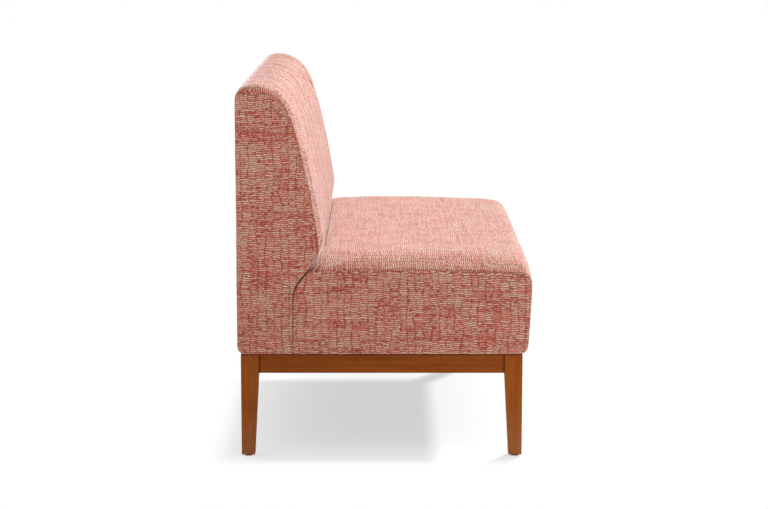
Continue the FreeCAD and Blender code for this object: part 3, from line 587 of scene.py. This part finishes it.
def timber(name, light, dark, grain, roughness, joints=None, reflection_height=None):
    """Planed hardwood with straight grain: long fine streaks along the piece and short dark pores.

    grain is the axis along the fibres. Streaks are 6 mm wide and 200 mm long. Pores are 1.1 mm wide
    and 25 mm long, which is coarser than real ones, so that they show. joints gives the two
    places along the grain where the wood is darkened by painted shade against a leg, and
    reflection_height the height below which it is made paler by a painted reflection of the floor.
    """
    streak_width, streak_length, pore_width, pore_length = 1 / 170, 0.200, 1 / 900, 0.025
    joint_shade_reach, joint_shade_level, reflection_share = 0.008, 0.5, 0.4
    wood, tree, shader = material(name)
    streak, pore = [1 / streak_width] * 3, [1 / pore_width] * 3
    streak[grain], pore[grain] = 1 / streak_length, 1 / pore_length
    place = add(tree, "TexCoord", out="Object")
    long_place = add(tree, "Mapping", {"Vector": place, "Scale": streak})
    fine_place = add(tree, "Mapping", {"Vector": place, "Scale": pore})
    noise = {"Vector": long_place, "Scale": 1.0, "Detail": 4.0, "Distortion": 0.6}
    streaks = add(tree, "TexNoise", noise)
    pores = add(tree, "TexNoise", {"Vector": fine_place, "Scale": 1.0, "Detail": 2.0})
    share = add(tree, "MapRange", {0: streaks, 1: 0.30, 2: 0.72, 3: 0.0, 4: 1.0})
    stain = add(tree, "Mix", {0: share, 6: opaque(light), 7: opaque(dark)}, **blended)
    pore_shade = add(tree, "MapRange", {0: pores, 1: 0.30, 2: 0.48, 3: 0.72, 4: 1.0})
    stain = add(tree, "VectorMath", {0: stain, "Scale": pore_shade}, operation="SCALE")
    # painted shade: near each joint with a leg the stain darkens to half within 8 mm, standing in
    # for the shade of the recess there
    if joints:
        middle, half = sum(joints) / 2, abs(joints[1] - joints[0]) / 2
        off = add(tree, "SeparateXYZ", {0: place}, out=grain)
        for centre in (middle, half):
            off = add(tree, "Math", {0: off, 1: centre}, operation="SUBTRACT")
            off = add(tree, "Math", {0: off}, operation="ABSOLUTE")
        ramp = {0: off, 1: 0.0, 2: joint_shade_reach, 3: joint_shade_level, 4: 1.0}
        joint_shade = add(tree, "MapRange", ramp, **eased)
        stain = add(tree, "VectorMath", {0: stain, "Scale": joint_shade}, operation="SCALE")
    if reflection_height:
        # painted reflection of the white floor: towards the floor the stain turns paler, up to 0.4
        # of a pale brown at the foot
        rise = add(tree, "SeparateXYZ", {0: place}, out=2)
        floor_reflection = add(tree, "MapRange", {0: rise, 1: 0.0, 2: reflection_height, 3: reflection_share, 4: 0.0})
        reflection_colour = opaque(linear("#AE7450"))
        stain = add(tree, "Mix", {0: floor_reflection, 6: stain, 7: reflection_colour}, **blended)
    ends = {3: roughness - 0.05, 4: roughness + 0.08}
    gloss = add(tree, "MapRange", {0: streaks, 1: 0.2, 2: 0.8, **ends})
    bump = add(tree, "Bump", {"Height": pores, "Strength": 0.12, "Distance": 0.0004})
    tree.links.new(stain, shader.inputs["Base Color"])
    tree.links.new(gloss, shader.inputs["Roughness"])
    tree.links.new(bump, shader.inputs["Normal"])
    shader.inputs["IOR"].default_value = 1.5
    shader.inputs["Specular IOR Level"].default_value = 0.06
    return wood


def grained(name, light, dark, size, roughness, metallic=0.0, bump_depth=0.0003):
    """A finish mottled by grains of one size in metres: felt, board, metal, moulded nylon."""
    made, tree, shader = material(name)
    place = add(tree, "TexCoord", out="Object")
    mottle = add(tree, "TexNoise", {"Vector": place, "Scale": 1 / size, "Detail": 3.0})
    share = add(tree, "MapRange", {0: mottle, 1: 0.3, 2: 0.7})
    light, dark = opaque(linear(light)), opaque(linear(dark))
    tone = add(tree, "Mix", {0: share, 6: light, 7: dark}, **blended)
    ends = {3: roughness * 0.85, 4: roughness * 1.1}
    gloss = add(tree, "MapRange", {0: mottle, 1: 0.2, 2: 0.8, **ends})
    bump = add(tree, "Bump", {"Height": mottle, "Strength": 0.3, "Distance": bump_depth})
    tree.links.new(tone, shader.inputs["Base Color"])
    tree.links.new(gloss, shader.inputs["Roughness"])
    tree.links.new(bump, shader.inputs["Normal"])
    shader.inputs["Metallic"].default_value = metallic
    return made


def plain_weave(name, light, dark, spacing):
    """Flat over-and-under weave with threads at one spacing, drawn coarse enough to show."""
    made, tree, shader = material(name)
    place = add(tree, "TexCoord", out="Object")
    turned = add(tree, "Mapping", {"Vector": place, "Scale": (1 / spacing,) * 3})
    split = add(tree, "SeparateXYZ", {0: turned})
    warp = add(tree, "Math", {0: split, 1: math.pi}, operation="MULTIPLY")
    weft = add(tree, "Math", {0: split.node.outputs[1], 1: math.pi}, operation="MULTIPLY")
    warp = add(tree, "Math", {0: warp}, operation="SINE")
    weft = add(tree, "Math", {0: weft}, operation="SINE")
    weave = add(tree, "Math", {0: warp, 1: weft}, operation="MULTIPLY")
    share = add(tree, "MapRange", {0: weave, 1: -1.0, 2: 1.0})
    light, dark = opaque(linear(light)), opaque(linear(dark))
    tone = add(tree, "Mix", {0: share, 6: light, 7: dark}, **blended)
    bump = add(tree, "Bump", {"Height": share, "Strength": 0.4, "Distance": 0.0004})
    tree.links.new(tone, shader.inputs["Base Color"])
    tree.links.new(bump, shader.inputs["Normal"])
    shader.inputs["Roughness"].default_value = 0.95
    return made


def dress(made, *names):
    """Puts a material into every slot of the named frame nodes."""
    for name in names:
        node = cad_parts[name]
        if not node.material_slots:
            node.data.materials.append(made)
        for place in node.material_slots:
            place.material = made


def starting_with(*heads):
    """Frame nodes whose names start with one of the heads."""
    return sorted(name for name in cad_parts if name.startswith(heads))


def back_corners(sizes):
    """Corners of the back's side outline in y and z: rear hem, over the top, to the front hem."""
    rear, top = back_high.y, back_high.z
    return np.array(
        [
            (rear, hem_z),
            (rear, top),
            (rear - sizes.top_depth, top),
            (rear - sizes.waist_depth, hem_z + sizes.waist_rise),
            (rear - sizes.nose_depth, hem_z + sizes.nose_rise),
            (rear - sizes.foot_depth, hem_z + sizes.tuck_rise),
            (rear - sizes.foot_depth, hem_z),
        ]
    )


def cloth_room(points, still, end_room):
    """How far the cloth may lift each point: nothing up to the still height, all of it 80 mm above.

    Gives the share of that rise, which points lie on the ends, and the room.
    """
    rise, end_depth, cover_room = 0.08, 0.004, 0.004
    x, _, z = points.T
    high = np.clip((z - hem_z - still) / rise, 0, 1)
    ends = np.abs(x) > half_width - end_depth
    return high, ends, np.where(ends, end_room, cover_room) * high


class BANQUETTE_OT_seat(bpy.types.Operator):
    """Makes the padded seat block with its side panels"""

    bl_idname = "banquette.seat"
    bl_label = "Padded seat"

    def execute(self, context):
        sizes = context.scene.banquette_seat
        joint_gap, front_fill, crown_share = 0.3 * millimetre, 0.002, 0.6
        joint_draw, hem_draw = 0.001, 0.0022
        joint_depth, joint_rise, front_band, front_share = 0.075, 0.222, 0.02, 0.3
        rim, width_steps = (0, 2, 4, 6), 84
        nose, tuck = back_corners(context.scene.banquette_back)[4:6]
        rear, front = tuck[0] - joint_gap, seat_low.y - front_fill
        top = hem_z + sizes.crown_rise
        slope = unit(nose - tuck)
        start = tuck + left_of(slope) * sizes.crease
        shoulder = start + slope * (rear - start[0]) / slope[0]
        edge = start + slope * (top - sizes.rear_drop - start[1]) / slope[1]
        corners = np.array(
            [
                (rear, hem_z),
                shoulder,
                edge,
                (front + crown_share * (rear - front), top),
                (front, top - sizes.front_drop),
                (front, hem_z + sizes.belly_rise),
                (front + sizes.front_lean, hem_z),
            ]
        )
        rounds = np.array([2, 60, 30, 5000, 37, 600, 18]) * millimetre
        end_rounds = np.array([2, 60, 24, 5000, 22, 600, 21]) * millimetre
        end, face = sizes.top_draw, sizes.front_draw
        draws = np.array([0, joint_draw, end, end, face, face, hem_draw])
        swells = np.array([0, 0, sizes.swell, sizes.swell, 0, 0, 0])
        arcs = [2, 4, 4, 16, 6, 4, 4]
        edges = matched_steps(arcs, [8, 5, 8, 20, 2, 8, 40], rim, (5, 6))
        shape = (corners, rounds, end_rounds, draws, swells, sizes.turn)
        piece = padded_block("seat_upholstery", *shape, arcs, edges, rim, width_steps)
        points = vertex_rows(piece.data, "co")
        _, y, z = points.T
        high, ends, room = cloth_room(points, still=0.03, end_room=0.0015)
        room[(y > rear - joint_depth) & (z < hem_z + joint_rise) & ~ends] = 0
        room[(y < front + front_band) & ~ends] *= front_share
        swell_cover(piece, room)
        points = vertex_rows(piece.data, "co")
        waves = (0.31, 0.23, 0.17, 0.13, 0.09)
        uneven = ripple(points, waves, seed=3) * uneven_depth * high
        set_coordinates(piece.data, points + vertex_rows(piece.data, "normal") * uneven[:, None])
        covered = ("seat_cover", "seat_cover_left", "seat_cover_right", "seat_foam")
        finish_padded(piece, context.scene.banquette_finish, covered)
        return {"FINISHED"}


class BANQUETTE_OT_back(bpy.types.Operator):
    """Makes the padded back with its side panels"""

    bl_idname = "banquette.back"
    bl_label = "Padded back"

    def execute(self, context):
        sizes = context.scene.banquette_back
        seam_draw, top_extra, waist_extra, hem_draw = 0.001, 0.009, 0.002, 0.004
        top_swell = 0.001
        rear_band, top_band, top_share = 0.03, 0.02, 0.4
        rim, width_steps = (0, 1, 2, 6), 150
        rear, top = back_high.y, back_high.z
        corners = back_corners(sizes)
        rounds = np.array([14, 36, 90, 2000, 45, 64, 2]) * millimetre
        end_rounds = np.array([18, 9, 80, 2000, 45, 64, 2]) * millimetre
        end = sizes.front_draw
        draws = np.array(
            [seam_draw, end + top_extra, end, end + waist_extra, seam_draw, 0, hem_draw]
        )
        swells = np.array([0, top_swell, sizes.swell, sizes.swell, 0, 0, 0])
        arcs = [4, 8, 10, 20, 6, 4, 2]
        edges = matched_steps(arcs, [52, 3, 2, 5, 8, 10, 8], rim, (5, 6))
        shape = (corners, rounds, end_rounds, draws, swells, sizes.turn)
        piece = padded_block("back_upholstery", *shape, arcs, edges, rim, width_steps)
        points = vertex_rows(piece.data, "co")
        _, y, z = points.T
        high, ends, room = cloth_room(points, still=0.15, end_room=0.0012)
        room[(y > rear - rear_band) & ~ends] = 0
        room[z > top - top_band] *= top_share
        swell_cover(piece, room)
        points = vertex_rows(piece.data, "co")
        waves = (0.29, 0.21, 0.16, 0.12, 0.08)
        uneven = ripple(points, waves, seed=7) * uneven_depth * high
        # folds show on the front and the top, and fade out where the cover turns into the ends
        facing = vertex_rows(piece.data, "normal")
        shown = high * np.clip(1 - np.abs(facing[:, 0]) * 2, 0, 1) * (facing[:, 1] < 0.5)
        uneven = uneven - sizes.fold_depth * pull_lines(points) * shown
        set_coordinates(piece.data, points + facing * uneven[:, None])
        covered = ("back_cover", "back_cover_left", "back_cover_right", "back_foam")
        finish_padded(piece, context.scene.banquette_finish, covered)
        return {"FINISHED"}


class BANQUETTE_OT_underside(bpy.types.Operator):
    """Makes the thin cloth stretched under the seat"""

    bl_idname = "banquette.underside"
    bl_label = "Underside cloth"

    def execute(self, context):
        sag_depth, thread = 0.004, 0.0016
        width_points, depth_points = 81, 45
        low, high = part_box("dust_cover")
        u = np.linspace(-1, 1, width_points)[:, None]
        v = np.linspace(-1, 1, depth_points)[None, :]
        half = (high - low) / 2
        centre = (high + low) / 2
        # two shallow bays, one each side of the cross rail: a parabola across, a flat curve along
        sag = sag_depth * (1 - (2 * np.abs(u) - 1) ** 2) * (1 - v**4)
        x, y, z = centre.x + half.x * u, centre.y + half.y * v, centre.z - sag
        grid = np.stack(np.broadcast_arrays(x, y, z), axis=-1)
        index = np.arange(grid[..., 0].size).reshape(grid.shape[:2])
        faces = quads(index)[:, ::-1]
        points = grid.reshape(-1, 3)
        piece = new_piece("underside_cloth", points, faces, points[faces.ravel(), :2])
        # polypropylene, spun and bonded by an embossing roller: matt black with a faint grid
        cloth = plain_weave("spunbonded_underside_cloth", "#1B1B1D", "#101012", thread)
        piece.data.materials.append(cloth)
        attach(piece, "frame")
        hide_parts("dust_cover")
        return {"FINISHED"}


class BANQUETTE_OT_timber(bpy.types.Operator):
    """Gives the legs, rails, frame and boards their wood"""

    bl_idname = "banquette.timber"
    bl_label = "Timber"

    def execute(self, context):
        satin, dry, leg_reflection_height = 0.42, 0.6, 0.12
        finish = context.scene.banquette_finish
        light, dark = finish.wood_light, finish.wood_dark
        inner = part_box("leg_front_left")[1]
        long_joints = (inner.x, -inner.x)
        side_joints = (inner.y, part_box("leg_rear_left")[0].y)
        # beech, planed, stained and lacquered: warm brown with faint streaks and a low sheen
        # the rails carry painted shade next to the legs
        long_rail = timber("stained_beech_long_rails", light, dark, 0, satin, joints=long_joints)
        side_rail = timber("stained_beech_side_rails", light, dark, 1, satin, joints=side_joints)
        light, dark = linear("#A1551C"), linear("#884612")
        # the legs carry a painted reflection of the floor towards their feet
        leg = timber("stained_beech_legs", light, dark, 2, satin, reflection_height=leg_reflection_height)
        dress(leg, *starting_with("leg_"))
        dress(long_rail, "base_front_rail", "base_rear_rail")
        dress(side_rail, "base_left_rail", "base_right_rail", "base_center_rail")
        # beech, planed and left raw: pale, dry and fine-pored
        pale, brown = linear("#D9B98A"), linear("#B48B5A")
        raw = [timber("raw_beech_" + axis, pale, brown, i, dry) for i, axis in enumerate("xy")]
        dress(raw[0], "seat_front_rail", "seat_rear_rail", "seat_dowels")
        dress(raw[1], "seat_left_rail", "seat_right_rail", "seat_center_rail")
        dress(raw[1], *starting_with("corner_block_front", "corner_block_rear"))
        # birch plywood, sanded: paler than beech, with a plain peeled grain
        ply = timber("birch_plywood", linear("#DDC49A"), linear("#BB9A68"), 2, dry)
        dress(ply, *starting_with("back_rib"), "back_top_rail", "back_waist_rail")
        dress(ply, "back_front_foot_rail", "back_rear_foot_rail")
        # hardboard, wet-pressed wood fibre: brown, dull and mottled by fibres of about 4 mm
        dress(grained("hardboard", "#7A5236", "#5C3B25", 0.004, 0.75), "back_board")
        return {"FINISHED"}


class BANQUETTE_OT_fittings(bpy.types.Operator):
    """Gives the springs, fasteners, glides and hidden padding their finishes"""

    bl_idname = "banquette.fittings"
    bl_label = "Fittings"

    def execute(self, context):
        # metallic, and the depth of its relief; grains of 2 and 3 mm are coarser than real ones
        metal = (1.0, 0.0001)
        # drawn steel, zinc plated: bright cool grey, faintly clouded
        zinc = grained("zinc_plated_steel", "#B9BCBE", "#9A9EA2", 0.002, 0.35, *metal)
        dress(zinc, "corner_block_screws", "base_screws", "back_bolts", "back_washers", "back_nuts")
        dress(zinc, "spring_clips", "clip_nails", *starting_with("glide_stem"))
        # spring steel, drawn and oiled: dark grey with a soft gleam
        spring = grained("oiled_spring_steel", "#5A5B5E", "#3C3D40", 0.003, 0.42, *metal)
        dress(spring, "seat_springs")
        # brass, turned: warm yellow and rather bright
        brass = grained("turned_brass", "#C9A45A", "#A98443", 0.002, 0.3, *metal)
        dress(brass, "glide_inserts")
        # nylon, moulded: near black, half matt, with a fine grain of about 1 mm
        nylon = grained("moulded_nylon", "#1D1B1A", "#141312", 0.001, 0.45)
        dress(nylon, *starting_with("glide_pad"))
        # felt of mixed fibre, needled: grey, fully matt and flecked
        dress(grained("needled_felt", "#8C8982", "#6A675F", 0.002, 0.95), "spring_pad")
        # elastic webbing, woven: dark and matt, its threads drawn coarse at 3 mm
        dress(plain_weave("elastic_webbing", "#3A3A3C", "#262628", 0.003), "back_webbing")
        return {"FINISHED"}


def seen_directly(tree):
    """One where a ray from the camera, or by way of metal or glass, meets the surface."""
    light = add(tree, "LightPath", out="Is Camera Ray")
    seen = light
    for name in ("Is Glossy Ray", "Is Transmission Ray"):
        seen = add(tree, "Math", {0: seen, 1: light.node.outputs[name]}, operation="MAXIMUM")
    return seen


class BANQUETTE_OT_stage(bpy.types.Operator):
    """Makes the pale floor, the even studio light, the key light and the camera"""

    bl_idname = "banquette.stage"
    bl_label = "Stage"

    def execute(self, context):
        scene = context.scene
        sizes = scene.banquette_stage
        floor_reach = 60
        key_width, key_tilt, key_turn = 4.5, 63.6, 60.3
        reach = np.array([-1.0, 1.0]) * floor_reach
        grid = np.stack(np.broadcast_arrays(reach[:, None], reach[None, :], 0.0), axis=-1)
        grid = grid.reshape(-1, 3)
        around = [0, 2, 3, 1]
        floor = new_piece("floor", grid, np.array([around]), grid[around, :2])
        floor.data.materials.append(self.floor_material())
        self.light_world(scene, sizes.sky)
        sun = bpy.data.lights.new("key", "SUN")
        sun.energy = sizes.key
        sun.angle = math.radians(key_width)
        key = bpy.data.objects.new("key", sun)
        key.rotation_euler = (math.radians(key_tilt), 0, math.radians(key_turn))
        scene.collection.objects.link(key)
        lens = bpy.data.cameras.new("camera")
        lens.sensor_width = 36
        lens.lens = sizes.focal_length
        camera = bpy.data.objects.new("camera", lens)
        camera.location = (-half_width - sizes.camera_distance, 0, sizes.camera_height)
        camera.rotation_euler = (math.pi / 2 - sizes.camera_pitch, 0, -math.pi / 2)
        scene.collection.objects.link(camera)
        scene.camera = camera
        scene.view_settings.view_transform = "Standard"
        return {"FINISHED"}

    def floor_material(self):
        """Seamless white paper: even white to the eye, with the object's soft shadow left in.

        The share of plain white goes from 0.6 under the object to 1 at 80 mm outside its plan.
        """
        under, clear = 0.60, 0.08
        made, tree, shader = material("white_paper")
        seen = seen_directly(tree)
        plan = (half_width, cad_box[1].y, 0.0)
        place = add(tree, "TexCoord", out="Object")
        away = add(tree, "VectorMath", {0: place}, operation="ABSOLUTE")
        away = add(tree, "VectorMath", {0: away, 1: plan}, operation="SUBTRACT")
        away = add(tree, "VectorMath", {0: away, 1: (0.0, 0.0, 0.0)}, operation="MAXIMUM")
        away = add(tree, "VectorMath", {0: away}, operation="LENGTH", out="Value")
        far = add(tree, "MapRange", {0: away, 1: 0.0, 2: clear, 3: under, 4: 1.0}, **eased)
        white = add(tree, "Math", {0: seen, 1: far}, operation="MULTIPLY")
        paper = add(tree, "BsdfDiffuse", {"Color": opaque(linear("#FAFAFA"))})
        glow = add(tree, "Emission", {"Color": (1.0, 1.0, 1.0, 1.0), "Strength": 1.0})
        both = add(tree, "MixShader", {0: white, 1: paper, 2: glow})
        tree.links.new(both, tree.nodes["Material Output"].inputs["Surface"])
        tree.nodes.remove(shader)
        return made

    def light_world(self, scene, strength):
        """A wide soft box overhead, weaker towards the horizon with the square of height.

        It is seen as plain white.
        """
        horizon = 0.25
        world = bpy.data.worlds.new("studio")
        world.use_nodes = True
        tree = world.node_tree
        seen = seen_directly(tree)
        heading = add(tree, "TexCoord", out="Object")
        rise = add(tree, "SeparateXYZ", {0: heading}, out=2)
        rise = add(tree, "Math", {0: rise, 1: 0.0}, operation="MAXIMUM")
        rise = add(tree, "Math", {0: rise, 1: 2.0}, operation="POWER")
        lit = add(tree, "MapRange", {0: rise, 3: horizon, 4: strength})
        level = add(tree, "MapRange", {0: seen, 3: lit, 4: 1.0})
        sky = tree.nodes["Background"]
        sky.inputs["Color"].default_value = (1.0, 1.0, 1.0, 1.0)
        tree.links.new(level, sky.inputs["Strength"])
        scene.world = world


class BANQUETTE_PT_panel(bpy.types.Panel):
    """Lists the banquette's pieces, sizes and finishes"""

    bl_label = "Banquette"
    bl_idname = "BANQUETTE_PT_panel"
    bl_space_type = "VIEW_3D"
    bl_region_type = "UI"
    bl_category = "Banquette"

    def draw(self, context):
        for operator in operators:
            self.layout.operator(operator.bl_idname)
        for name in groups:
            settings = getattr(context.scene, name)
            box = self.layout.box()
            for key in settings.__annotations__:
                box.prop(settings, key)


groups = {
    "banquette_back": BanquetteBack,
    "banquette_seat": BanquetteSeat,
    "banquette_finish": BanquetteFinish,
    "banquette_stage": BanquetteStage,
}
operators = (
    BANQUETTE_OT_seat,
    BANQUETTE_OT_back,
    BANQUETTE_OT_underside,
    BANQUETTE_OT_timber,
    BANQUETTE_OT_fittings,
    BANQUETTE_OT_stage,
)


def register():
    for name, group in groups.items():
        bpy.utils.register_class(group)
        setattr(bpy.types.Scene, name, bpy.props.PointerProperty(type=group))
    for operator in operators:
        bpy.utils.register_class(operator)
    bpy.utils.register_class(BANQUETTE_PT_panel)


def unregister():
    bpy.utils.unregister_class(BANQUETTE_PT_panel)
    for operator in reversed(operators):
        bpy.utils.unregister_class(operator)
    for name, group in reversed(groups.items()):
        delattr(bpy.types.Scene, name)
        bpy.utils.unregister_class(group)


def main():
    """Makes every piece and the stage."""
    register()
    bpy.ops.banquette.seat()
    bpy.ops.banquette.back()
    bpy.ops.banquette.underside()
    bpy.ops.banquette.timber()
    bpy.ops.banquette.fittings()
    bpy.ops.banquette.stage()


if __name__ == "__main__":
    main()
